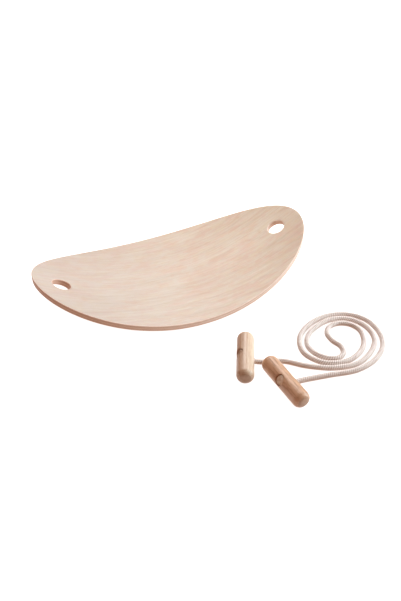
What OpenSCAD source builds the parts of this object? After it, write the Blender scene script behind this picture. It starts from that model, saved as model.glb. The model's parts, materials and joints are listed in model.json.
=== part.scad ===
// Rocking board of bent plywood, with a loose pull rope that has a wooden handle on each end.
// The board stands on its curved underside at the origin. X runs along it, Y across it, Z is up.

/* [Board] */
// Length of the blank, measured along the curved underside
board_length = 580; // [480:10:760]
// Width of the blank at the middle
board_width = 305; // [240:5:400]
// Radius that the underside is bent to
bend_radius = 550; // [420:10:900]
// Thickness of one ply
ply_thickness = 2.1; // [1.4:0.1:2.8]
// Thickness of the glue line between two plies
glue_line = 0.12; // [0.05:0.01:0.2]

/* [End holes] */
// Diameter of the hole near each end
hole_d = 35; // [25:1:42]
// Distance along the underside from the end of the board to a hole's centre
hole_inset = 50; // [40:1:80]

/* [Handles] */
// Diameter of the dowel that a handle is turned from
handle_d = 30; // [26:1:40]
// Length of a handle
handle_length = 112; // [80:1:140]
// Radius of the rounding at the ends of a handle
handle_round = 11; // [4:0.5:12]
// Slope of the rope bore, falling towards the side where the rope leaves
bore_tilt = 29; // [10:1:30]
// Diameter of the pocket that takes the knot
pocket_d = 19; // [16:0.5:22]
// Depth of the pocket along the bore
pocket_depth = 10; // [8:0.5:11]

/* [Rope] */
// Diameter of the braided rope
rope_d = 10; // [6:0.5:10.5]
// Room all round the rope in its bore
rope_room = 0.5; // [0.3:0.1:1]
// Length of a stopper knot along the bore
knot_length = 7.5; // [6.5:0.5:8]
// Radius of the rounding of a knot
knot_round = 3; // [1:0.25:3]
// Room all round a knot in its pocket
knot_room = 0.75; // [0.4:0.05:1.5]

/* [Hidden] */
$fn = 96;

// How far a cutting shape runs past what it cuts
overrun = 3;
// Gap between a knot and the floor of its pocket
seat_gap = 0.3;

// The ply stack, counted upwards from the underside
ply_count = 5;
ply_pitch = ply_thickness + glue_line;
board_thickness = ply_count * ply_pitch - glue_line;

// The blank is an ellipse in the flat, so its outline is worked out along the bend
outline_count = 120;
half_length = board_length / 2;
half_width = board_width / 2;
half_span = bend_radius * sin(bend_angle(half_length));
hole_angle = bend_angle(half_length - hole_inset);
board_top = bend_radius - sqrt(pow(bend_radius - board_thickness, 2) - pow(half_span, 2));

// Where each handle lies on the floor, and the heading in degrees in which its rope leaves
left_handle_x = 0;
left_handle_y = -277;
left_handle_angle = -30;
right_handle_x = 28;
right_handle_y = -357;
right_handle_angle = 0;
left_handle_place = [left_handle_x, left_handle_y, left_handle_angle];
right_handle_place = [right_handle_x, right_handle_y, right_handle_angle];
bore_d = rope_d + 2 * rope_room;
pocket_floor = handle_d / 2 - pocket_depth;
knot_seat = pocket_floor + seat_gap;
knot_d = pocket_d - 2 * knot_room;

// Floor route of the rope from the right handle, round its loops and back out to the left handle
route_xy = [
    [57, -359], [106, -369], [160, -380], [201, -372], [235, -349],
    [253, -314], [253, -277], [230, -248], [192, -236], [150, -244],
    [115, -269], [101, -306], [118, -341], [155, -354], [191, -344],
    [216, -320], [225, -293], [217, -273], [200, -263], [181, -265],
    [167, -279], [164, -299], [168, -319], [162, -334], [147, -341],
    [132, -335], [118, -315], [117, -292], [133, -269], [163, -253],
    [199, -249], [229, -265], [241, -296], [233, -328], [206, -353],
    [166, -367], [126, -359], [88, -335], [55, -304], [26, -292]
];
route = concat([on_bore(right_handle_place, handle_d / 2)],
               [for (p = route_xy) [p[0], p[1], rope_d / 2]],
               [on_bore(left_handle_place, handle_d / 2)]);
last_leg = len(route) - 2;
// Rings on each leg of the route, and sides of the rope's tube
leg_steps = 2;
rope_sides = 12;
rope_centres = concat([on_bore(right_handle_place, -knot_seat)],
                      [for (i = [0:last_leg]) for (k = [0:leg_steps - 1]) on_leg(i, k / leg_steps)],
                      [route[last_leg + 1], on_bore(left_handle_place, -knot_seat)]);

// Angle at the bend's centre, in degrees, that a length along the underside takes up
function bend_angle(along) = along / bend_radius * 180 / PI;

// A point of the board's outline, seen from above
function outline_point(turn) =
    [bend_radius * sin(bend_angle(half_length * cos(turn))), half_width * sin(turn)];

// Direction in which the rope runs out of a handle, and a point on that handle's bore
function bore_direction(place) =
    [cos(place[2]) * cos(bore_tilt), sin(place[2]) * cos(bore_tilt), -sin(bore_tilt)];
function on_bore(place, distance) =
    [place[0], place[1], handle_d / 2] + distance * bore_direction(place);

// The route is a chain of smooth legs, level wherever the rope lies on the floor
function leg_length(i) = norm(route[i + 1] - route[i]);
function leg_heading(i) = (route[i + 1] - route[i]) / leg_length(i);
function level(v) = [v[0], v[1], 0];
function heading(i) =
    i == 0 ? bore_direction(right_handle_place) :
    i > last_leg ? -bore_direction(left_handle_place) :
    level(leg_length(i - 1) * leg_heading(i) + leg_length(i) * leg_heading(i - 1))
        / (leg_length(i - 1) + leg_length(i));
function on_leg(i, t) =
    (2 * pow(t, 3) - 3 * pow(t, 2) + 1) * route[i]
    + (pow(t, 3) - 2 * pow(t, 2) + t) * leg_length(i) * heading(i)
    + (3 * pow(t, 2) - 2 * pow(t, 3)) * route[i + 1]
    + (pow(t, 3) - pow(t, 2)) * leg_length(i) * heading(i + 1);

// One ring of the rope's tube, square to the way that the rope runs there
function unit(v) = v / norm(v);
function run(j) =
    unit(rope_centres[min(j + 1, len(rope_centres) - 1)] - rope_centres[max(j - 1, 0)]);
function ring(j) =
    let (side = unit(cross(run(j), [0, 0, 1])), up = cross(side, run(j)))
    [for (k = [0:rope_sides - 1])
        rope_centres[j] + rope_d / 2 * (cos(360 * k / rope_sides) * up + sin(360 * k / rope_sides) * side)];

// Least gap between two stretches of the rope, measured on points along its tube's centre line
gap_steps = 5;
gap_skip = 3 * gap_steps;
gap_points = [for (j = [0:len(rope_centres) - 2]) for (k = [0:gap_steps - 1])
    rope_centres[j] + (rope_centres[j + 1] - rope_centres[j]) * k / gap_steps];
rope_gap = min([for (i = [0:len(gap_points) - 1 - gap_skip]) for (j = [i + gap_skip:len(gap_points) - 1])
    norm(gap_points[i] - gap_points[j])]) - rope_d;
rope_length_steps = [for (j = [0:len(rope_centres) - 2]) norm(rope_centres[j + 1] - rope_centres[j])];
rope_length = rope_length_steps * [for (s = rope_length_steps) 1];
echo(least_gap_of_the_rope_to_itself = rope_gap, rope_length = rope_length);

// The round hole near one end, drilled square to the face; side is 1 or -1
module end_hole(side) {
    translate([0, 0, bend_radius])
        rotate([0, -side * hole_angle, 0])
            translate([0, 0, -bend_radius - overrun])
                cylinder(d = hole_d, h = board_thickness + 2 * overrun);
}

// One ply, bent to its own radius, trimmed to the outline and drilled
module ply(level_number, tint) {
    outer_radius = bend_radius - level_number * ply_pitch;
    color(tint) difference() {
        intersection() {
            translate([0, 0, bend_radius]) rotate([90, 0, 0]) difference() {
                cylinder(r = outer_radius, h = board_width + 2 * overrun, center = true);
                cylinder(r = outer_radius - ply_thickness, h = board_width + 4 * overrun, center = true);
            }
            translate([0, 0, -overrun]) linear_extrude(board_top + 2 * overrun)
                polygon([for (i = [0:outline_count - 1]) outline_point(360 * i / outline_count)]);
        }
        for (side = [-1, 1]) end_hole(side);
    }
}

module bottom_face_ply() { ply(0, "#e2c7b2"); }
module lower_cross_ply() { ply(1, "#b98d71"); }
module core_ply() { ply(2, "#d6b69e"); }
module upper_cross_ply() { ply(3, "#b98d71"); }
module top_face_ply() { ply(4, "#e6cfbe"); }

// Half of a lengthways section of a round bar with rounded ends, to be turned about Y
module bar_section(length, radius, rounding) {
    square_length = length - 2 * rounding;
    intersection() {
        union() {
            translate([0, -square_length / 2]) square([radius, square_length]);
            translate([0, -length / 2]) square([radius - rounding, length]);
            for (side = [-1, 1])
                translate([radius - rounding, side * square_length / 2]) circle(rounding);
        }
        translate([0, -length / 2]) square([radius, length]);
    }
}

// Children are set on a handle's place, with Y along the handle
module at_handle(place) {
    translate([place[0], place[1], handle_d / 2]) rotate([0, 0, place[2]]) children();
}

// Children are set on a handle's bore, with Z the way that the rope leaves
module along_bore() {
    rotate([0, 90 + bore_tilt, 0]) children();
}

// Turned handle with a bore for the rope and a pocket for the knot
module handle(place) {
    color("#dcb48c") at_handle(place) difference() {
        rotate([90, 0, 0]) rotate_extrude() bar_section(handle_length, handle_d / 2, handle_round);
        along_bore() {
            cylinder(d = bore_d, h = handle_d + 2 * overrun, center = true);
            translate([0, 0, -handle_d / 2 - overrun]) cylinder(d = pocket_d, h = pocket_depth + overrun);
        }
    }
}

module left_handle() { handle(left_handle_place); }
module right_handle() { handle(right_handle_place); }

// Stopper knot, pulled down on to the floor of its pocket
module knot(place) {
    color("#d8c6b8") at_handle(place) along_bore()
        translate([0, 0, -knot_seat - knot_length / 2])
            rotate_extrude() bar_section(knot_length, knot_d / 2, knot_round);
}

module left_knot() { knot(left_handle_place); }
module right_knot() { knot(right_handle_place); }

// Braided rope, one unbroken tube from knot to knot
module rope() {
    ring_count = len(rope_centres);
    end_start = (ring_count - 1) * rope_sides;
    color("#ebdcd0") polyhedron(
        points = [for (j = [0:ring_count - 1]) each ring(j)],
        faces = concat(
            [for (j = [0:ring_count - 2]) for (k = [0:rope_sides - 1])
                each tube_wall(j * rope_sides, k, (k + 1) % rope_sides)],
            [for (k = [1:rope_sides - 2]) [0, k, k + 1]],
            [for (k = [1:rope_sides - 2]) [end_start, end_start + k + 1, end_start + k]]));
}

// Two triangles of the tube's wall between one ring and the next
function tube_wall(start, a, b) =
    [[start + a, start + a + rope_sides, start + b],
     [start + b, start + a + rope_sides, start + b + rope_sides]];

bottom_face_ply();
lower_cross_ply();
core_ply();
upper_cross_ply();
top_face_ply();
left_handle();
right_handle();
left_knot();
right_knot();
rope();
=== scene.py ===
"""Looks of a rocking board and its pull rope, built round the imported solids.

The board is pressed from five plies and drilled near each end. Beside it lies a braided rope
with a turned handle on each end, held by a stopper knot in the handle's pocket.
"""

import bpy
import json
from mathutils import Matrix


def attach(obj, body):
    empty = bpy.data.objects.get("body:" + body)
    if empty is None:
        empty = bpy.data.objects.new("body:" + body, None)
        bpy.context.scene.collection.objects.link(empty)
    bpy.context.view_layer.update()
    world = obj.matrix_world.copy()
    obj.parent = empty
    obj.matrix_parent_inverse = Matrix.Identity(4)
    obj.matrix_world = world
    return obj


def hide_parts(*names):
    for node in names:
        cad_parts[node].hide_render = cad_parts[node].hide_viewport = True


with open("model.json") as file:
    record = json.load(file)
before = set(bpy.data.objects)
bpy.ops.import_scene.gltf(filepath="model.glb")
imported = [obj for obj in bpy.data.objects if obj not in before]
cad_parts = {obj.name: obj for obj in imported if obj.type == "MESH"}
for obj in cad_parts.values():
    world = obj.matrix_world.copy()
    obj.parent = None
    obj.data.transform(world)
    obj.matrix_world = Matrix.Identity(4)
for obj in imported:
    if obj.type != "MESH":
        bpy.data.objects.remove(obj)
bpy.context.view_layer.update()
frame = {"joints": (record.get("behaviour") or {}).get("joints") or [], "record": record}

import json
import math

import bmesh
import bpy
from bpy.props import FloatProperty, FloatVectorProperty, IntProperty, PointerProperty
from mathutils import Matrix, Vector

bl_info = {
    "name": "Rocking board",
    "version": (1, 0, 0),
    "blender": (4, 5, 0),
    "location": "3D View > Sidebar > Rocking board",
    "description": "Builds a rocking board of bent plywood and its pull rope",
    "category": "Object",
}

MM = 0.001
PHOTO_WIDTH, PHOTO_HEIGHT = 401, 601
UP = Vector((0, 0, 1))
WHITE = (1, 1, 1)

PLIES = ("bottom_face_ply", "lower_cross_ply", "core_ply", "upper_cross_ply", "top_face_ply")
HANDLES = ("left_handle", "right_handle")
KNOTS = ("left_knot", "right_knot")
PREFIX = "dressed_"

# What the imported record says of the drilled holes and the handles' swivels
mounts = {mount["name"]: mount for mount in frame["record"]["mounts"]}
joints = {joint["name"]: joint for joint in frame["joints"]}
HOLE_RADIUS = mounts["right_hole"]["dims"]["r_mm"] * MM
HOLE_ANGLE = math.asin(-mounts["right_hole"]["axis"][0])

# The rope's route on the floor, from the right handle round its loops to the left handle
ROUTE = (
    (0.057, -0.359), (0.106, -0.369), (0.160, -0.380), (0.201, -0.372), (0.235, -0.349),
    (0.253, -0.314), (0.253, -0.277), (0.230, -0.248), (0.192, -0.236), (0.150, -0.244),
    (0.115, -0.269), (0.101, -0.306), (0.118, -0.341), (0.155, -0.354), (0.191, -0.344),
    (0.216, -0.320), (0.225, -0.293), (0.217, -0.273), (0.200, -0.263), (0.181, -0.265),
    (0.167, -0.279), (0.164, -0.299), (0.168, -0.319), (0.162, -0.334), (0.147, -0.341),
    (0.132, -0.335), (0.118, -0.315), (0.117, -0.292), (0.133, -0.269), (0.163, -0.253),
    (0.199, -0.249), (0.229, -0.265), (0.241, -0.296), (0.233, -0.328), (0.206, -0.353),
    (0.166, -0.367), (0.126, -0.359), (0.088, -0.335), (0.055, -0.304), (0.026, -0.292),
)

# How finely the pieces are meshed
OUTLINE_STEPS = 288
HOLE_STEPS = 64
STRIPS = 80
BANDS = 42
EASE_STEPS = 6
DOWEL_SIDES = 72
DOWEL_ROWS = 66
RIM_STEPS = 48
BRAID_SIDES = 40
BRAID_STEP = 0.6 * MM
LEG_STEPS = 40
KNOT_RINGS = 64
KNOT_SIDES = 96
WALL_SIDES = 64

# Points closer than this are one point, and edges bent by more than this angle stay crisp
WELD = 0.002 * MM
SHARP_ANGLE = math.radians(48)

# Round a hole, the plumb trim of the outline passes over into square drilling within this distance
HOLE_BLEND = 1.5 * HOLE_RADIUS
# The face is drawn back with its arris within this many radii of the arris
ARRIS_REACH = 6
# Keeps directions on the blank defined at its very middle
NEAR_MIDDLE = 0.01
# Clear strip of skin round the rims of pocket and bore
RIM_MARGIN = 1.2 * MM
# Part of the braid's height that is lost in the grooves between two columns of stitches
COLUMN_GROOVE = 0.45

# Half width of the eye in the middle of a knot, and depth of the grooves between its turns
KNOT_EYE = 3 * MM
KNOT_GROOVE = 1.1 * MM
# Part of a turn that the turns lean by up the side of a knot, and wind by towards the eye
KNOT_LEAN = 0.45
KNOT_WIND = 0.9
# Columns of stitches on each turn, their part of the rope's relief, and how uneven the turns are
KNOT_COLUMNS = 4
KNOT_RELIEF = 0.4
KNOT_UNEVEN = 0.1
# Least height that colours a knot, which keeps the painted shade in its grooves light, and the lift of its
# turns there, which lessens the painted shade between the turns
KNOT_PALE = 0.5
KNOT_LIFT = 0.2

# Streaks for each metre along the cut edge, of plies with their grain along it and across it
LONG_STREAKS = 40
SHORT_STREAKS = 700
# Where the axis of a dowel lies from the heart of the plank that it was cut from
HEART = (0, 12 * MM, 34 * MM)
# Distances from the end of a handle where its end grain begins to show, and shows in full
END_GRAIN_STARTS = 2 * MM
END_GRAIN_FULL = 0.8 * MM

# Half the height of the soft step between the light from above and from below
HORIZON = 0.1
FLOOR_ROUGHNESS = 0.9


def length(name, description, default):
    return FloatProperty(name=name, description=description, default=default, min=0,
                         unit="LENGTH", precision=5)


def number(name, description, default):
    return FloatProperty(name=name, description=description, default=default)


def angle(name, description, default):
    return FloatProperty(name=name, description=description, default=default, subtype="ANGLE")


def power(name, description, default):
    return FloatProperty(name=name, description=description, default=default, min=0, unit="POWER")


def count(name, description, default, least):
    return IntProperty(name=name, description=description, default=default, min=least)


def direction(name, description, default):
    return FloatVectorProperty(name=name, description=description, default=default, size=3,
                               subtype="DIRECTION")


def colour(name, description, default):
    return FloatVectorProperty(name=name, description=description, default=default, size=3,
                               min=0, max=1, subtype="COLOR")


class BoardSizes(bpy.types.PropertyGroup):
    blank_length: length("Length", "Length of the flat blank", 0.58)
    blank_width: length("Width", "Width of the flat blank", 0.305)
    bend_radius: length("Bend radius", "Radius that the underside is bent to", 0.55)
    ply_thickness: length("Ply", "Thickness of one ply", 0.0021)
    glue_line: length("Glue line", "Thickness of the glue between two plies", 0.00012)
    arris: length("Arris", "Rounding along the edges of both faces", 0.0011)
    # Painted light and shade: besides the wood's tone, the faces are painted darker at the left end and
    # lighter at the right end, for how the light falls on the two tilted ends.
    face_wood_left_painted_shade: colour("Face, cool", "Light wood of the faces at the left end", (0.585, 0.507, 0.451))
    face_wood_right_painted_light: colour("Face, warm", "Light wood of the faces at the right end", (0.81, 0.712, 0.585))
    face_pink: colour("Face, pink", "Tint of the pink patches of the faces", (1.0, 0.87, 0.86))
    face_gold: colour("Face, gold", "Tint of the yellow patches of the faces", (1.0, 0.965, 0.85))
    face_dark: colour("Face, dark", "Tint of the dark grain of the faces", (0.81, 0.73, 0.67))
    # Painted shade: the dark colours of the edges serve the dark grain and also darken the edges towards
    # the left end, which faces away from the lamps.
    cross_light: colour("Cross ply, light", "Light wood of the cross plies' edges", (0.80, 0.61, 0.50))
    cross_dark_grain_and_painted_shade: colour("Cross ply, dark", "Dark grain of the cross plies' edges", (0.59, 0.35, 0.25))
    edge_light: colour("Edge, light", "Light wood of the other plies' edges", (0.95, 0.77, 0.67))
    edge_dark_grain_and_painted_shade: colour("Edge, dark", "Dark grain of the other plies' edges", (0.70, 0.44, 0.33))


class HandleSizes(bpy.types.PropertyGroup):
    diameter: length("Diameter", "Diameter of the dowel", 0.03)
    span: length("Length", "Length of a handle", 0.112)
    rounding: length("Rounding", "Rounding of the ends", 0.011)
    bore: length("Bore", "Diameter of the rope's bore", 0.011)
    pocket: length("Pocket", "Diameter of the knot's pocket", 0.019)
    pocket_depth: length("Pocket depth", "Depth of the pocket along the bore", 0.010)
    eased: length("Eased rims", "Rounding of the rims of pocket and bore", 0.0009)
    left_light: colour("Left, light", "Light wood of the left handle", (0.71, 0.55, 0.41))
    left_dark: colour("Left, dark", "Dark grain of the left handle", (0.40, 0.17, 0.07))
    left_dashes: number("Left, dashes", "Strength of the left handle's dark dashes", 0.22)
    # Painted shade: this slope darkens the left handle on its side away from the lamps.
    left_painted_shade_slope: number("Left, fade", "Darkening across the left handle, for each metre", 18)
    right_light: colour("Right, light", "Light wood of the right handle", (0.67, 0.405, 0.25))
    right_dark: colour("Right, dark", "Dark grain of the right handle", (0.35, 0.16, 0.08))
    right_dashes: number("Right, dashes", "Strength of the right handle's dark dashes", 0.65)
    # Painted light and shade: this slope lightens the right handle on its side away from the lamps, for
    # light from the floor, and darkens its lit side.
    right_painted_shade_slope: number("Right, fade", "Darkening across the right handle, for each metre", -22)
    end_grain: colour("End grain", "Wood of the sanded ends", (0.40, 0.27, 0.19))


class RopeSizes(bpy.types.PropertyGroup):
    diameter: length("Diameter", "Diameter of the rope", 0.010)
    relief: length("Relief", "Depth of the grooves between stitches", 0.0012)
    stitch: length("Stitch", "Length of one stitch of the braid", 0.0037)
    columns: count("Columns", "Columns of stitches round the rope", 10, 4)
    rows: count("Rows", "Rows of stitches that wind round the rope together", 3, 1)
    slant: number("Slant", "Part of a stitch that each stitch leans by", 0.5)
    knot_length: length("Knot length", "Length of a stopper knot along the bore", 0.0075)
    knot_round: length("Knot rounding", "Rounding of the rims of a knot", 0.003)
    knot_turns: count("Knot turns", "Turns that show on a knot", 3, 2)
    knot_room: length("Knot room", "Room all round a knot in its pocket", 0.00075)
    seat_gap: length("Seat gap", "Gap between a knot and the floor of its pocket", 0.0003)
    light: colour("Cotton", "Crowns of the stitches", (0.965, 0.90, 0.86))
    # Painted shade: both knots are darker than the rope's cotton, the left one most, for the shade in
    # their pockets.
    left_knot: colour("Left knot", "Crowns of the left knot, soiled by hands", (0.62, 0.452, 0.33))
    right_knot: colour("Right knot", "Crowns of the right knot, soiled by hands", (0.95, 0.81, 0.67))
    # Painted shade: the groove colour darkens the grooves between the stitches.
    dark: colour("Grooves", "Grooves between the stitches", (0.25, 0.075, 0.03))


class StageSizes(bpy.types.PropertyGroup):
    azimuth: angle("Azimuth", "Way round the object to the camera", -0.466381)
    elevation: angle("Elevation", "Height of the camera above the horizon", 0.639617)
    distance: length("Distance", "Depth of the origin in front of the camera", 1.350881)
    aim: FloatVectorProperty(name="Aim", description="Pixel of the photo where the origin lies",
                             default=(175.971, 279.933), size=2)
    focal: number("Focal length", "Focal length in pixels of the photo", 678.418)
    room: length("Room", "Distance from the middle to the end of the floor", 6)
    wall: length("Backdrop", "Distance from the middle to the backdrop", 5.4)
    floor: colour("Floor", "Colour of the floor", (0.5, 0.5, 0.5))
    floor_glow: number("Floor glow", "Light that the floor gives back", 0.97)
    fill_above: colour("Fill above", "Light from all round above the floor", (0.31, 0.19, 0.14))
    fill_below: colour("Fill below", "Light that comes back from the floor", (0.63, 0.41, 0.30))
    key: power("Key lamp", "Power of the low lamp on the right", 38)
    key_way: direction("Way to the key lamp", "Way to the low lamp on the right", (0.85, -0.40, 0.34))
    high: power("High lamp", "Power of the high lamp on the right", 14)
    high_way: direction("Way to the high lamp", "Way to the high lamp on the right", (0.67, 0.06, 0.74))
    back: power("Back lamp", "Power of the lamp behind the board", 24)
    back_way: direction("Way to the back lamp", "Way to the lamp behind the board", (0.33, 0.58, 0.74))
    lamp_tint: colour("Lamp tint", "Colour of the lamps on the right", (0.80, 0.95, 1))
    lamp_size: length("Lamp size", "Diameter of a lamp", 1.4)
    lamp_distance: length("Lamp distance", "Distance of a lamp from the object", 2.0)


class Wire:
    """A socket of a node tree. Arithmetic on it adds Math nodes, and add() any other node."""

    def __init__(self, tree, socket=None):
        self.tree, self.socket = tree, socket

    def add(self, kind, settings=None, sockets=None, output=0):
        """Adds a node, sets it up, sets or links its sockets, and gives one of its outputs."""
        node = self.tree.nodes.new("ShaderNode" + kind)
        for name, value in (settings or {}).items():
            setattr(node, name, value)
        for name, value in (sockets or {}).items():
            if isinstance(value, Wire):
                self.tree.links.new(value.socket, node.inputs[name])
            else:
                node.inputs[name].default_value = value
        return Wire(self.tree, node.outputs[output])

    def math(self, operation, *values):
        """Adds a Math node that works on these values, wires and numbers alike."""
        return self.add("Math", {"operation": operation}, dict(enumerate(values)))

    def __add__(self, other):
        return self.math("ADD", self, other)

    def __radd__(self, other):
        return self.math("ADD", other, self)

    def __sub__(self, other):
        return self.math("SUBTRACT", self, other)

    def __rsub__(self, other):
        return self.math("SUBTRACT", other, self)

    def __mul__(self, other):
        return self.math("MULTIPLY", self, other)

    def __rmul__(self, other):
        return self.math("MULTIPLY", other, self)

    def __pow__(self, other):
        return self.math("POWER", self, other)

    def __rpow__(self, other):
        return self.math("POWER", other, self)

    def attribute(self, name, output):
        """What the mesh notes under a name at each of its points."""
        return self.add("Attribute", {"attribute_name": name}, output=output)

    def position(self):
        """Object coordinates, in metres."""
        return self.add("TexCoord", output="Object")

    def part(self, axis):
        """One part of a position, 0 to 2."""
        return self.add("SeparateXYZ", None, {0: self}, axis)

    def stretched(self, along, across, through):
        """A position counted in so many patches for each metre along, across and through the grain."""
        return self.add("VectorMath", {"operation": "MULTIPLY"}, {0: self, 1: (along, across, through)})

    def noise(self, scale, detail, roughness):
        """Soft patches, from about 0.2 to 0.8, with so many octaves of finer ones."""
        return self.add("TexNoise", None,
                        {"Vector": self, "Scale": scale, "Detail": detail, "Roughness": roughness})

    def bands(self, number_of_bands):
        """Soft bands, so many of them for each unit of this value."""
        return self.math("SINE", self * (number_of_bands * math.tau)) * 0.5 + 0.5

    def between(self, low, high):
        """0 below low and 1 above high, with an eased step between."""
        return self.add("MapRange", {"interpolation_type": "SMOOTHSTEP"},
                        {"Value": self, "From Min": low, "From Max": high})

    def mixed(self, first, second, blend="MIX"):
        """Colour first where this is 0, and second, or second blended with it, where this is 1.

        A Mix node has its factor on socket 0, its two colours on 6 and 7, and a colour on output 2.
        """
        first, second = (tone if isinstance(tone, Wire) else (*tone, 1) for tone in (first, second))
        return self.add("Mix", {"data_type": "RGBA", "blend_type": blend},
                        {0: self, 6: first, 7: second}, 2)


def new_material(name):
    """A material with one Principled shader, and a wire to add nodes with."""
    material = bpy.data.materials.new(name)
    material.use_nodes = True
    return material, Wire(material.node_tree), material.node_tree.nodes["Principled BSDF"]


def finish_shader(wire, shader, tone, roughness, height, depth, constants):
    """Links what varies over the surface, and sets what does not on the shader's own sockets."""
    bump = wire.add("Bump", None, {"Height": height, "Distance": depth, "Strength": 1.0})
    for name, value in (("Base Color", tone), ("Roughness", roughness), ("Normal", bump)):
        wire.tree.links.new(value.socket, shader.inputs[name])
    for name, value in constants.items():
        shader.inputs[name].default_value = value


def veneer(name, board):
    """Peeled veneer with its grain along the board, in a pattern that follows the flat blank."""
    material, wire, shader = new_material(name)
    blank = wire.attribute("blank", "Vector")
    drift = blank.stretched(2.4, 9, 30).noise(1, 3, 0.55)
    sway = blank.add("VectorMath", {"operation": "MULTIPLY_ADD"},
                     {0: drift, 1: (0, 0.05, 0), 2: blank})
    waver = blank.stretched(4, 13, 30).noise(1, 3, 0.5)
    arcs = (sway.part(1) + waver * 0.11).bands(70)**4
    streaks = sway.stretched(8, 130, 130).noise(1, 3, 0.65)
    lines = sway.stretched(20, 480, 480).noise(1, 2, 0.6)
    fibre = blank.stretched(60, 1500, 1500).noise(1, 2, 0.6)
    flecks = blank.stretched(130, 2300, 2300).noise(1, 1, 0.5).between(0.62, 0.74)
    pink = blank.stretched(20, 48, 48).noise(1, 5, 0.75).between(0.4, 0.66)
    gold = blank.stretched(37, 71, 90).noise(1, 4, 0.75).between(0.4, 0.66)
    right_end = blank.part(0).between(-0.26, 0.28)
    shade = (drift.between(0.3, 0.72) * 0.3 + streaks.between(0.25, 0.8) * 0.36
             + lines.between(0.2, 0.8) * 0.42 + arcs * (right_end * 0.16 + 0.05)
             + fibre * 0.35 + flecks * 0.3 - 0.42)
    # Painted light and shade: darker and cooler towards the left end, lighter and warmer towards the right
    # end.
    tone = right_end.mixed(board.face_wood_left_painted_shade, board.face_wood_right_painted_light)
    tone = (pink * (right_end * 0.3 + 0.75)).mixed(tone, board.face_pink, "MULTIPLY")
    tone = (gold * 0.7).mixed(tone, board.face_gold, "MULTIPLY")
    tone = shade.mixed(tone, board.face_dark, "MULTIPLY")
    finish_shader(wire, shader, tone, fibre * 0.14 + 0.45, fibre * 0.6 - flecks * 0.4, 0.05 * MM,
                  {"Coat Weight": 0.06, "Coat Roughness": 0.35})
    return material


def cut_edge(name, light, dark, streaks):
    """Sanded edge of a ply, with fine streaks along the edge."""
    material, wire, shader = new_material(name)
    blank = wire.attribute("blank", "Vector")
    layers = blank.stretched(streaks, streaks, 2600).noise(1, 3, 0.6)
    patches = blank.stretched(30, 30, 200).noise(1, 3, 0.6)
    pores = blank.stretched(900, 900, 2400).noise(1, 1, 0.5).between(0.6, 0.72)
    # Painted shade: the edges, and the walls of the left hole, are darker towards the left end, which
    # faces away from the lamps.
    left_end_painted_shade = 1 - blank.part(0).between(-0.32, -0.07)
    shade = layers * 0.6 + patches * 0.45 + left_end_painted_shade * 0.7 - 0.5
    tone = (pores * 0.3).mixed(shade.mixed(light, dark), dark)
    finish_shader(wire, shader, tone, layers * 0.15 + 0.55, layers - pores * 0.6, 0.08 * MM,
                  {"Coat Weight": 0.04})
    return material


def dowel_wood(name, handle, wood, place, turn):
    """Turned hardwood with the growth rings of the plank that the dowel was cut from."""
    light, dark, dash_strength, painted_shade_slope = wood
    material, wire, shader = new_material(name)
    local = wire.add("Mapping", {"vector_type": "TEXTURE"},
                     {"Vector": wire.position(), "Location": place, "Rotation": (0, 0, turn)})
    sway = local.stretched(9, 60, 60).noise(1, 3, 0.5)
    heart = wire.add("VectorMath", {"operation": "ADD"}, {0: local.stretched(0, 1, 1), 1: HEART})
    reach = wire.add("VectorMath", {"operation": "LENGTH"}, {0: heart}, "Value")
    rings = (reach + sway * 0.006).bands(420)
    streaks = local.stretched(12, 330, 330).noise(1, 3, 0.6)
    fibre = local.stretched(60, 1500, 1500).noise(1, 3, 0.65)
    flecks = local.stretched(170, 1800, 1800).noise(1, 1, 0.5).between(0.6, 0.7)
    dashes = local.stretched(50, 420, 420).noise(1, 2, 0.6).between(0.46, 0.64)
    # Painted light and shade: the slope across the dowel darkens or lightens one side of it.
    shade = (rings * 0.2 + streaks.between(0.25, 0.8) * 0.4 + dashes * dash_strength + fibre * 0.4
             + sway.between(0.35, 0.7) * 0.2 + local.part(1) * painted_shade_slope - (0.24 + 0.35 * dash_strength))
    tone = (flecks * 0.3).mixed(shade.mixed(light, dark), dark)
    along = wire.math("ABSOLUTE", local.part(0)) + fibre * MM
    end = along.between(handle.span / 2 - END_GRAIN_STARTS, handle.span / 2 - END_GRAIN_FULL)
    tone = (end * 0.55).mixed(tone, handle.end_grain)
    finish_shader(wire, shader, tone, fibre * 0.2 + 0.34, fibre * 0.6 - flecks * 0.6, 0.1 * MM,
                  {"Coat Weight": 0.4, "Coat Roughness": 0.36})
    return material


def cotton(name, light, dark):
    """Braided cotton: pale crowns, grooves painted darker as shade, and fine yarns along each stitch."""
    material, wire, shader = new_material(name)
    crown = wire.attribute("crown", "Fac")
    yarn = wire.attribute("across", "Fac").bands(3)
    position = wire.position()
    fuzz = position.noise(1900, 3, 0.7)
    soil = position.noise(26, 2, 0.5)
    # Painted shade: the grooves between the stitches are coloured towards the groove colour.
    shade = 1 - crown.between(0.2, 0.78) + soil * 0.22 - 0.11
    tone = (shade + fuzz * 0.3 - 0.15).mixed(light, dark)
    finish_shader(wire, shader, tone, fuzz * 0.15 + 0.8, yarn * 0.6 + fuzz * 0.8, 0.12 * MM,
                  {"Sheen Weight": 0.25, "Sheen Roughness": 0.5, "Specular IOR Level": 0.2})
    return material


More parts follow.
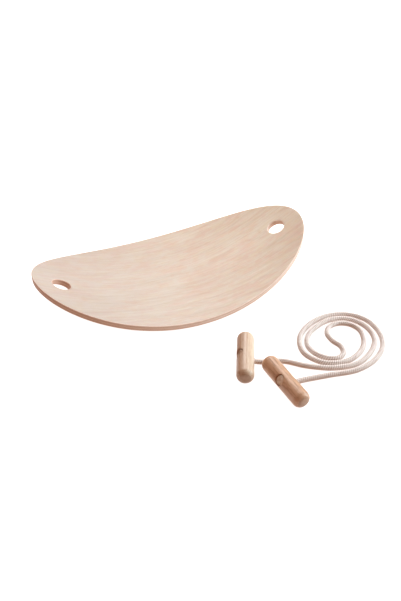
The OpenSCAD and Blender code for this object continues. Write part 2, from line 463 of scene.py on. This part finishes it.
def new_piece(bm, name, materials, body):
    """Makes a mesh the finished piece: smooth, riding on its body and standing for its node."""
    bmesh.ops.remove_doubles(bm, verts=bm.verts[:], dist=WELD)
    bmesh.ops.recalc_face_normals(bm, faces=bm.faces[:])
    mesh = bpy.data.meshes.new(PREFIX + name)
    bm.to_mesh(mesh)
    bm.free()
    mesh.shade_smooth()
    mesh.set_sharp_from_angle(angle=SHARP_ANGLE)
    for material in materials:
        mesh.materials.append(material)
    piece = bpy.data.objects.new(PREFIX + name, mesh)
    bpy.context.scene.collection.objects.link(piece)
    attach(piece, body)
    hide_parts(name)
    return piece


def open_rim(bm, taken, ring):
    """Cuts the faces with a point that taken names out of a flat sheet, and fills it up to a ring."""
    gone = [f for f in bm.faces if any(taken(v.co) for v in f.verts)]
    lost = set(gone)
    edges = [e for e in bm.edges if len(e.link_faces) == 2 and len(lost.intersection(e.link_faces)) == 1]
    bmesh.ops.delete(bm, geom=gone, context="FACES")
    edges += dict.fromkeys(e for v in ring for e in v.link_edges)
    bmesh.ops.triangle_fill(bm, use_beauty=True, use_dissolve=False, edges=edges)


def flat_blank(board):
    """The board's blank laid flat: a sheet cut to an ellipse, with a hole near each end."""
    half_length, half_width = board.blank_length / 2, board.blank_width / 2
    size = Matrix.Diagonal((half_length, half_width, 1, 1))
    margin = board.blank_length / STRIPS / 2
    bm = bmesh.new()
    bmesh.ops.create_grid(bm, x_segments=STRIPS, y_segments=BANDS, size=1, matrix=size)
    outline = bmesh.ops.create_circle(bm, segments=OUTLINE_STEPS, radius=1, matrix=size)["verts"]
    open_rim(bm, lambda co: math.hypot(co.x / (half_length - margin), co.y / (half_width - margin)) > 1,
             outline)
    for side in (-1, 1):
        centre = Vector((side * HOLE_ANGLE * board.bend_radius, 0, 0))
        ring = bmesh.ops.create_circle(bm, segments=HOLE_STEPS, radius=HOLE_RADIUS,
                                       matrix=Matrix.Translation(centre))["verts"]
        open_rim(bm, lambda co: (co - centre).length < HOLE_RADIUS + margin, ring)
    return bm


def drawn_back(board, along, across, back):
    """A point of the flat blank, drawn back from the edges of the blank by their rounding."""
    reach = ARRIS_REACH * board.arris
    half_length, half_width = board.blank_length / 2, board.blank_width / 2
    share = math.hypot(along / half_length, across / half_width)
    slope = Vector((along / half_length**2, across / half_width**2)) / max(share, NEAR_MIDDLE)
    point = Vector((along, across))
    gap = (1 - share) / max(slope.length, NEAR_MIDDLE)
    if gap < reach:
        point -= slope.normalized() * back * (1 - gap / reach)
    centre = Vector((math.copysign(HOLE_ANGLE * board.bend_radius, along), 0))
    gap = (point - centre).length - HOLE_RADIUS
    if gap < reach:
        point += (point - centre).normalized() * back * (1 - gap / reach)
    return point


def bent(board, along, across, height):
    """Where a point of the flat blank lies in the pressed board, at a height above its underside.

    The outline is trimmed plumb and the holes are drilled square to the face.
    """
    radius = board.bend_radius - height
    x = board.bend_radius * math.sin(along / board.bend_radius)
    lean = math.copysign(HOLE_ANGLE, along)
    offset = board.bend_radius * math.sin(along / board.bend_radius - lean)
    squared = offset * math.cos(lean) + math.sqrt(radius**2 - offset**2) * math.sin(lean)
    gap = math.hypot(along - lean * board.bend_radius, across) - HOLE_RADIUS
    share = min(max(1 - gap / HOLE_BLEND, 0), 1)
    x += (squared - x) * share * share * (3 - 2 * share)
    return Vector((x, across, board.bend_radius - math.sqrt(radius**2 - x**2)))


def pressed_ply(board, flat, level_number):
    """One ply, given its thickness, rounded where it is a face ply, and bent."""
    bm = flat.copy()
    blank = bm.verts.layers.float_vector.new("blank")
    lower = set(bm.verts)
    bmesh.ops.extrude_face_region(bm, geom=bm.faces[:])
    for v in bm.verts:
        v.co.z = 0 if v in lower else 1
    posts = [e for e in bm.edges if e.verts[0].co.z != e.verts[1].co.z]
    for face in {f for e in posts for f in e.link_faces}:
        face.material_index = 1
    face_side = {0: -1, len(PLIES) - 1: 1}.get(level_number, 0)
    if face_side:
        bmesh.ops.subdivide_edges(bm, edges=posts, cuts=EASE_STEPS - 1, use_grid_fill=True)
    base = level_number * (board.ply_thickness + board.glue_line)
    for v in bm.verts:
        level, back = v.co.z * board.ply_thickness, 0
        if face_side:
            step = (v.co.z if face_side > 0 else 1 - v.co.z) * EASE_STEPS
            turn = max(step - 1, 0) / (EASE_STEPS - 1) * math.pi / 2
            rise = min(step, 1) * (board.ply_thickness - board.arris) + board.arris * math.sin(turn)
            level = rise if face_side > 0 else board.ply_thickness - rise
            back = board.arris * (1 - math.cos(turn))
        along, across = drawn_back(board, v.co.x, v.co.y, back)
        v[blank] = (along, across, base + level)
        v.co = bent(board, along, across, base + level)
    return bm


class BOARD_OT_press_plies(bpy.types.Operator):
    """Press the five plies of the board and drill their holes"""

    bl_idname = "rocking_board.press_plies"
    bl_label = "Press the plies"

    def execute(self, context):
        board = context.scene.rocking_board
        flat = flat_blank(board)
        face = veneer("face_veneer", board)
        light_edge = cut_edge("light_edge", board.edge_light, board.edge_dark_grain_and_painted_shade, LONG_STREAKS)
        dark_edge = cut_edge("dark_edge", board.cross_light, board.cross_dark_grain_and_painted_shade, SHORT_STREAKS)
        for level_number, name in enumerate(PLIES):
            edge = dark_edge if "cross" in name else light_edge
            new_piece(pressed_ply(board, flat, level_number), name, (face, edge), "board")
        flat.free()
        return {"FINISHED"}


def swivel(name):
    """Centre of a handle, and the way its rope runs out."""
    joint = joints[name + "_swivel"]
    return Vector(joint["pos_m"]), Vector(joint["axis"]).normalized()


def half_skin(radius, span, rounding):
    """Length of the skin of a round bar with rounded ends, from its middle to the middle of an end."""
    return span / 2 - rounding * (2 - math.pi / 2) + radius


def bar_section(radius, span, rounding, along):
    """Section of a round bar with rounded ends, where along follows its skin from the middle.

    Gives the distance from the bar's axis, the place along it, and how far the skin has turned there.
    """
    straight = span / 2 - rounding
    past = max(abs(along) - straight, 0)
    bend = min(past / rounding, math.pi / 2)
    flat = max(past - rounding * math.pi / 2, 0)
    out = radius - rounding * (1 - math.cos(bend)) - flat
    place = min(abs(along), straight) + rounding * math.sin(bend)
    return out, math.copysign(place, along), math.copysign(bend, along)


def dowel_skin(handle, tilt):
    """The dowel's skin with open rims for the pocket and the bore, cut flat and then wrapped round."""
    radius = handle.diameter / 2
    bm = bmesh.new()
    size = Matrix.Diagonal((math.pi * radius, half_skin(radius, handle.span, handle.rounding), 1, 1))
    bmesh.ops.create_grid(bm, x_segments=DOWEL_SIDES, y_segments=DOWEL_ROWS, size=1, matrix=size)
    seam = -tilt + math.pi / 2
    for turn, hole in ((-tilt, handle.bore), (math.pi - tilt, handle.pocket)):
        rim = hole / 2 + handle.eased
        centre = Vector(((turn - seam - math.pi) % math.tau * radius, 0, 0))
        if centre.x > math.pi * radius:
            centre.x -= math.tau * radius
        ring = bmesh.ops.create_circle(bm, segments=RIM_STEPS, radius=rim)["verts"]
        for v in ring:
            v.co = centre + Vector((radius * math.asin(v.co.x / radius), v.co.y, 0))
        open_rim(bm, lambda co: (co - centre).length < rim + RIM_MARGIN, ring)
    for v in bm.verts:
        turn = v.co.x / radius + seam + math.pi
        out, place, _ = bar_section(radius, handle.span, handle.rounding, v.co.y)
        v.co = (out * math.cos(turn), place, out * math.sin(turn))
    bmesh.ops.remove_doubles(bm, verts=bm.verts[:], dist=WELD)
    return bm


def sunk_ring(bm, rim, radius, run, axial):
    """Draws a rim on to the next ring of a hole along run; axial gives a ring point's place along it."""
    made = bmesh.ops.extrude_edge_only(bm, edges=rim)["geom"]
    verts = {g for g in made if isinstance(g, bmesh.types.BMVert)}
    for v in verts:
        away = (v.co - run * v.co.dot(run)).normalized()
        v.co = away * radius + run * axial(radius * math.hypot(away.x, away.z))
    return [g for g in made if isinstance(g, bmesh.types.BMEdge) and verts.issuperset(g.verts)]


def bored_handle(handle, tilt):
    """The turned handle with its bore and pocket, lying along Y about the origin."""
    bm = dowel_skin(handle, tilt)
    radius, eased = handle.diameter / 2, handle.eased
    run = Vector((math.cos(tilt), 0, -math.sin(tilt)))
    rims = [e for e in bm.edges if e.is_boundary]
    pocket_rim = [e for e in rims if e.verts[0].co.dot(run) < 0]
    bore_rim = [e for e in rims if e.verts[0].co.dot(run) > 0]
    pocket, bore = handle.pocket / 2, handle.bore / 2
    floor = handle.pocket_depth - radius
    corner = eased * (1 - math.sqrt(0.5))

    def under_skin(depth, side):
        return lambda offset: side * (math.sqrt(radius**2 - offset**2) - depth)

    def level(place):
        return lambda offset: place

    rings = (
        (pocket + corner, under_skin(corner, -1)),
        (pocket, under_skin(eased, -1)),
        (pocket, level(floor - eased)),
        (pocket - corner, level(floor - corner)),
        (pocket - eased, level(floor)),
        (bore + eased, level(floor)),
        (bore + corner, level(floor + corner)),
        (bore, level(floor + eased)),
        (bore, under_skin(eased, 1)),
        (bore + corner, under_skin(corner, 1)),
    )
    rim = pocket_rim
    for ring_radius, axial in rings:
        rim = sunk_ring(bm, rim, ring_radius, run, axial)
    bmesh.ops.bridge_loops(bm, edges=rim + bore_rim)
    return bm


class BOARD_OT_turn_handles(bpy.types.Operator):
    """Turn the two wooden handles and bore them for the rope"""

    bl_idname = "rocking_board.turn_handles"
    bl_label = "Turn the handles"

    def execute(self, context):
        handle = context.scene.rocking_handle
        woods = ((handle.left_light, handle.left_dark, handle.left_dashes, handle.left_painted_shade_slope),
                 (handle.right_light, handle.right_dark, handle.right_dashes, handle.right_painted_shade_slope))
        for name, wood in zip(HANDLES, woods):
            centre, run = swivel(name)
            heading = math.atan2(run.y, run.x)
            bm = bored_handle(handle, math.asin(-run.z))
            bmesh.ops.transform(bm, matrix=Matrix.Translation(centre) @ Matrix.Rotation(heading, 4, "Z"),
                                verts=bm.verts[:])
            turned = dowel_wood(name + "_wood", handle, wood, centre, heading + math.pi / 2)
            new_piece(bm, name, (turned,), name)
        return {"FINISHED"}


def knot_seat(rope, handle):
    """Distance along the bore from the middle of a handle to the near end of its knot."""
    return handle.diameter / 2 - handle.pocket_depth + rope.seat_gap


def braid(rope, columns, around, along):
    """Height of the braid from 0 in a groove to 1 on a crown, and the place across the stitch there."""
    place = around * columns
    column = math.floor(place)
    across = place - column - 0.5
    stitch = (along / rope.stitch + rope.rows * column / columns + rope.slant * across) % 1 - 0.5
    groove = COLUMN_GROOVE * (1 - math.sqrt(1 - (2 * across)**2))
    return math.sqrt(1 - (2 * stitch)**2) * (1 - groove), stitch


def stopper_knot(rope, handle):
    """A knot of turns that wind round each other, along Y about the origin, with its open end up."""
    radius, half = handle.pocket / 2 - rope.knot_room, rope.knot_length / 2
    size = Matrix.Diagonal((0.5, half_skin(radius, rope.knot_length, rope.knot_round), 1, 1))
    bm = bmesh.new()
    crowns = bm.verts.layers.float.new("crown")
    places = bm.verts.layers.float.new("across")
    bmesh.ops.create_grid(bm, x_segments=KNOT_SIDES, y_segments=KNOT_RINGS, size=1, matrix=size)
    for v in bm.verts:
        around, along = v.co.x, v.co.y
        turn = math.tau * around
        out, rise, bend = bar_section(radius, rope.knot_length, rope.knot_round, along)
        clear = min(out / KNOT_EYE, 1)
        turns = (rope.knot_turns * around + KNOT_LEAN * rise / half
                 + math.copysign(KNOT_WIND * (1 - out / radius), rise))
        swell = (clear * math.sqrt(abs(math.cos(math.pi * turns)))
                 * (1 - KNOT_UNEVEN * (1 - math.cos(turn))))
        crown, v[places] = braid(rope, KNOT_COLUMNS * rope.knot_turns, turns / rope.knot_turns, along)
        # Painted shade: the knot is coloured darker in the grooves between its turns and its stitches.
        v[crowns] = KNOT_PALE + (1 - KNOT_PALE) * crown * min(swell + KNOT_LIFT, 1)
        seated = min(max(-along / half, 0), 1)
        sunk = (1 - seated) * (KNOT_GROOVE * (1 - swell) + KNOT_RELIEF * rope.relief * (1 - crown * clear))
        out, rise = out - sunk * math.cos(bend), rise - sunk * math.sin(bend)
        v.co = (out * math.cos(turn), rise, out * math.sin(turn))
    return bm


class BOARD_OT_tie_knots(bpy.types.Operator):
    """Tie the stopper knots and draw them tight into their pockets"""

    bl_idname = "rocking_board.tie_knots"
    bl_label = "Tie the knots"

    def execute(self, context):
        rope, handle = context.scene.rocking_rope, context.scene.rocking_handle
        for name, handle_name, tone in zip(KNOTS, HANDLES, (rope.left_knot, rope.right_knot)):
            centre, run = swivel(handle_name)
            middle = centre - run * (knot_seat(rope, handle) + rope.knot_length / 2)
            stand = (-run).to_track_quat("Y", "Z").to_matrix().to_4x4()
            bm = stopper_knot(rope, handle)
            bmesh.ops.transform(bm, matrix=Matrix.Translation(middle) @ stand, verts=bm.verts[:])
            new_piece(bm, name, (cotton(name, tone, rope.dark),), "rope")
        return {"FINISHED"}


def rope_line(rope, handle):
    """The rope's centre line from knot to knot, in steps of equal length, and its whole length."""
    radius, seat = handle.diameter / 2, knot_seat(rope, handle)
    (right, out), (left, back) = swivel("right_handle"), swivel("left_handle")
    on_floor = [Vector((x, y, rope.diameter / 2)) for x, y in ROUTE]
    route = [right + radius * out, *on_floor, left + radius * back]
    legs = [b - a for a, b in zip(route, route[1:])]
    headings = [out]
    for before, after in zip(legs, legs[1:]):
        heading = before.length * after.normalized() + after.length * before.normalized()
        headings.append(Vector((heading.x, heading.y, 0)) / (before.length + after.length))
    headings.append(-back)
    points = [right - seat * out]
    for n, leg in enumerate(legs):
        for step in range(LEG_STEPS):
            t = step / LEG_STEPS
            bend = (t**3 - 2 * t**2 + t) * headings[n] + (t**3 - t**2) * headings[n + 1]
            points.append((2 * t**3 - 3 * t**2 + 1) * route[n] + (3 * t**2 - 2 * t**3) * route[n + 1]
                          + leg.length * bend)
    points += [route[-1], left - seat * back]
    reached = [0.0]
    for a, b in zip(points, points[1:]):
        reached.append(reached[-1] + (b - a).length)
    steps = round(reached[-1] / BRAID_STEP)
    line, n = [], 0
    for k in range(steps + 1):
        want = reached[-1] * k / steps
        while n < len(points) - 2 and reached[n + 1] < want:
            n += 1
        line.append(points[n].lerp(points[n + 1], (want - reached[n]) / (reached[n + 1] - reached[n])))
    return line, reached[-1]


def braided_tube(rope, line, whole):
    """The rope's tube along its line, with the relief of its stitches and both ends closed."""
    bm = bmesh.new()
    crowns = bm.verts.layers.float.new("crown")
    places = bm.verts.layers.float.new("across")
    spans = len(line) - 1
    step = whole / spans
    sheet = (Matrix.Translation((BRAID_SIDES / 2, spans / 2, 0))
             @ Matrix.Diagonal((BRAID_SIDES, spans, 1, 1)))
    bmesh.ops.create_grid(bm, x_segments=BRAID_SIDES, y_segments=spans, size=0.5, matrix=sheet)
    sections = []
    for n, point in enumerate(line):
        run = line[min(n + 1, spans)] - line[max(n - 1, 0)]
        side = run.cross(UP).normalized()
        sections.append((point, side, side.cross(run).normalized()))
    for v in bm.verts:
        k, n = round(v.co.x) % BRAID_SIDES, round(v.co.y)
        point, side, lift = sections[n]
        turn = math.tau * k / BRAID_SIDES
        crown, v[places] = braid(rope, rope.columns, k / BRAID_SIDES, n * step)
        v[crowns] = crown
        radius = rope.diameter / 2 - rope.relief * (1 - crown)
        v.co = point + radius * (math.cos(turn) * lift + math.sin(turn) * side)
    bmesh.ops.remove_doubles(bm, verts=bm.verts[:], dist=WELD)
    bmesh.ops.holes_fill(bm, edges=[e for e in bm.edges if e.is_boundary], sides=0)
    return bm


class BOARD_OT_lay_rope(bpy.types.Operator):
    """Lay the braided rope from knot to knot, through both handles"""

    bl_idname = "rocking_board.lay_rope"
    bl_label = "Lay the rope"

    def execute(self, context):
        rope, handle = context.scene.rocking_rope, context.scene.rocking_handle
        line, whole = rope_line(rope, handle)
        yarn = cotton("cotton_rope", rope.light, rope.dark)
        piece = new_piece(braided_tube(rope, line, whole), "rope", (yarn,), "rope")
        return {"FINISHED"}


class BOARD_OT_set_stage(bpy.types.Operator):
    """Set the floor, the lights and the camera"""

    bl_idname = "rocking_board.set_stage"
    bl_label = "Set the stage"

    def execute(self, context):
        scene, stage = context.scene, context.scene.rocking_stage
        scene.view_settings.view_transform = "Standard"
        self.set_floor(scene, stage)
        self.set_fill(scene, stage)
        self.hang_lamp(scene, stage, "key_lamp", stage.key_way, stage.key, stage.lamp_tint)
        self.hang_lamp(scene, stage, "high_lamp", stage.high_way, stage.high, stage.lamp_tint)
        self.hang_lamp(scene, stage, "back_lamp", stage.back_way, stage.back, WHITE)
        self.place_camera(scene, stage)
        return {"FINISHED"}

    def set_floor(self, scene, stage):
        bm = bmesh.new()
        bmesh.ops.create_grid(bm, x_segments=2, y_segments=2, size=stage.room)
        floor = self.stage_piece(scene, stage, "floor", bm)
        floor.visible_diffuse = False
        bm = bmesh.new()
        bmesh.ops.create_cone(bm, segments=WALL_SIDES, radius1=stage.wall, radius2=stage.wall,
                              depth=2 * stage.room)
        wall = self.stage_piece(scene, stage, "backdrop", bm)
        wall.visible_diffuse = wall.visible_glossy = wall.visible_shadow = False

    def stage_piece(self, scene, stage, name, bm):
        mesh = bpy.data.meshes.new(name)
        bm.to_mesh(mesh)
        bm.free()
        material, _, shader = new_material(name)
        shader.inputs["Base Color"].default_value = (*stage.floor, 1)
        shader.inputs["Roughness"].default_value = FLOOR_ROUGHNESS
        shader.inputs["Emission Color"].default_value = (*WHITE, 1)
        shader.inputs["Emission Strength"].default_value = stage.floor_glow
        mesh.materials.append(material)
        piece = bpy.data.objects.new(name, mesh)
        scene.collection.objects.link(piece)
        return piece

    def set_fill(self, scene, stage):
        world = bpy.data.worlds.new("studio")
        world.use_nodes = True
        wire = Wire(world.node_tree)
        height = wire.position().part(2)
        tone = height.between(-HORIZON, HORIZON).mixed(stage.fill_below, stage.fill_above)
        wire.tree.links.new(tone.socket, wire.tree.nodes["Background"].inputs["Color"])
        scene.world = world

    def hang_lamp(self, scene, stage, name, way, energy, tint):
        lamp = bpy.data.lights.new(name, "AREA")
        lamp.shape, lamp.size, lamp.energy, lamp.color = "DISK", stage.lamp_size, energy, tint
        hung = bpy.data.objects.new(name, lamp)
        hung.location = stage.lamp_distance * way.normalized()
        hung.rotation_euler = way.to_track_quat("Z", "Y").to_euler()
        scene.collection.objects.link(hung)

    def place_camera(self, scene, stage):
        turn, rise = stage.azimuth, stage.elevation
        right = Vector((math.cos(turn), math.sin(turn), 0))
        back = Vector((math.sin(turn) * math.cos(rise), -math.cos(turn) * math.cos(rise), math.sin(rise)))
        up = back.cross(right)
        aside = (stage.aim[0] - PHOTO_WIDTH / 2) / stage.focal * stage.distance
        above = (PHOTO_HEIGHT / 2 - stage.aim[1]) / stage.focal * stage.distance
        lens = bpy.data.cameras.new("photo_view")
        lens.lens = stage.focal / PHOTO_HEIGHT * lens.sensor_width
        camera = bpy.data.objects.new("photo_view", lens)
        place = back * stage.distance - right * aside - up * above
        camera.matrix_world = Matrix.Translation(place) @ Matrix((right, up, back)).transposed().to_4x4()
        scene.collection.objects.link(camera)
        scene.camera = camera


SETTINGS = {"rocking_board": BoardSizes, "rocking_handle": HandleSizes, "rocking_rope": RopeSizes,
            "rocking_stage": StageSizes}
OPERATORS = (BOARD_OT_set_stage, BOARD_OT_tie_knots, BOARD_OT_lay_rope, BOARD_OT_turn_handles,
             BOARD_OT_press_plies)


class BOARD_PT_builder(bpy.types.Panel):
    """Lists the sizes and colours, and the steps that build the board"""

    bl_idname = "BOARD_PT_builder"
    bl_label = "Rocking board"
    bl_space_type = "VIEW_3D"
    bl_region_type = "UI"
    bl_category = "Rocking board"

    def draw(self, context):
        for group in SETTINGS:
            settings = getattr(context.scene, group)
            box = self.layout.box()
            for name in settings.__annotations__:
                box.prop(settings, name)
        for operator in OPERATORS:
            self.layout.operator(operator.bl_idname)


CLASSES = (*SETTINGS.values(), *OPERATORS, BOARD_PT_builder)


def register():
    for each in CLASSES:
        bpy.utils.register_class(each)
    for name, group in SETTINGS.items():
        setattr(bpy.types.Scene, name, PointerProperty(type=group))


def unregister():
    for name in SETTINGS:
        delattr(bpy.types.Scene, name)
    for each in reversed(CLASSES):
        bpy.utils.unregister_class(each)


def main():
    register()
    bpy.ops.rocking_board.set_stage()
    bpy.ops.rocking_board.tie_knots()
    bpy.ops.rocking_board.lay_rope()
    bpy.ops.rocking_board.turn_handles()
    bpy.ops.rocking_board.press_plies()


if __name__ == "__main__":
    main()
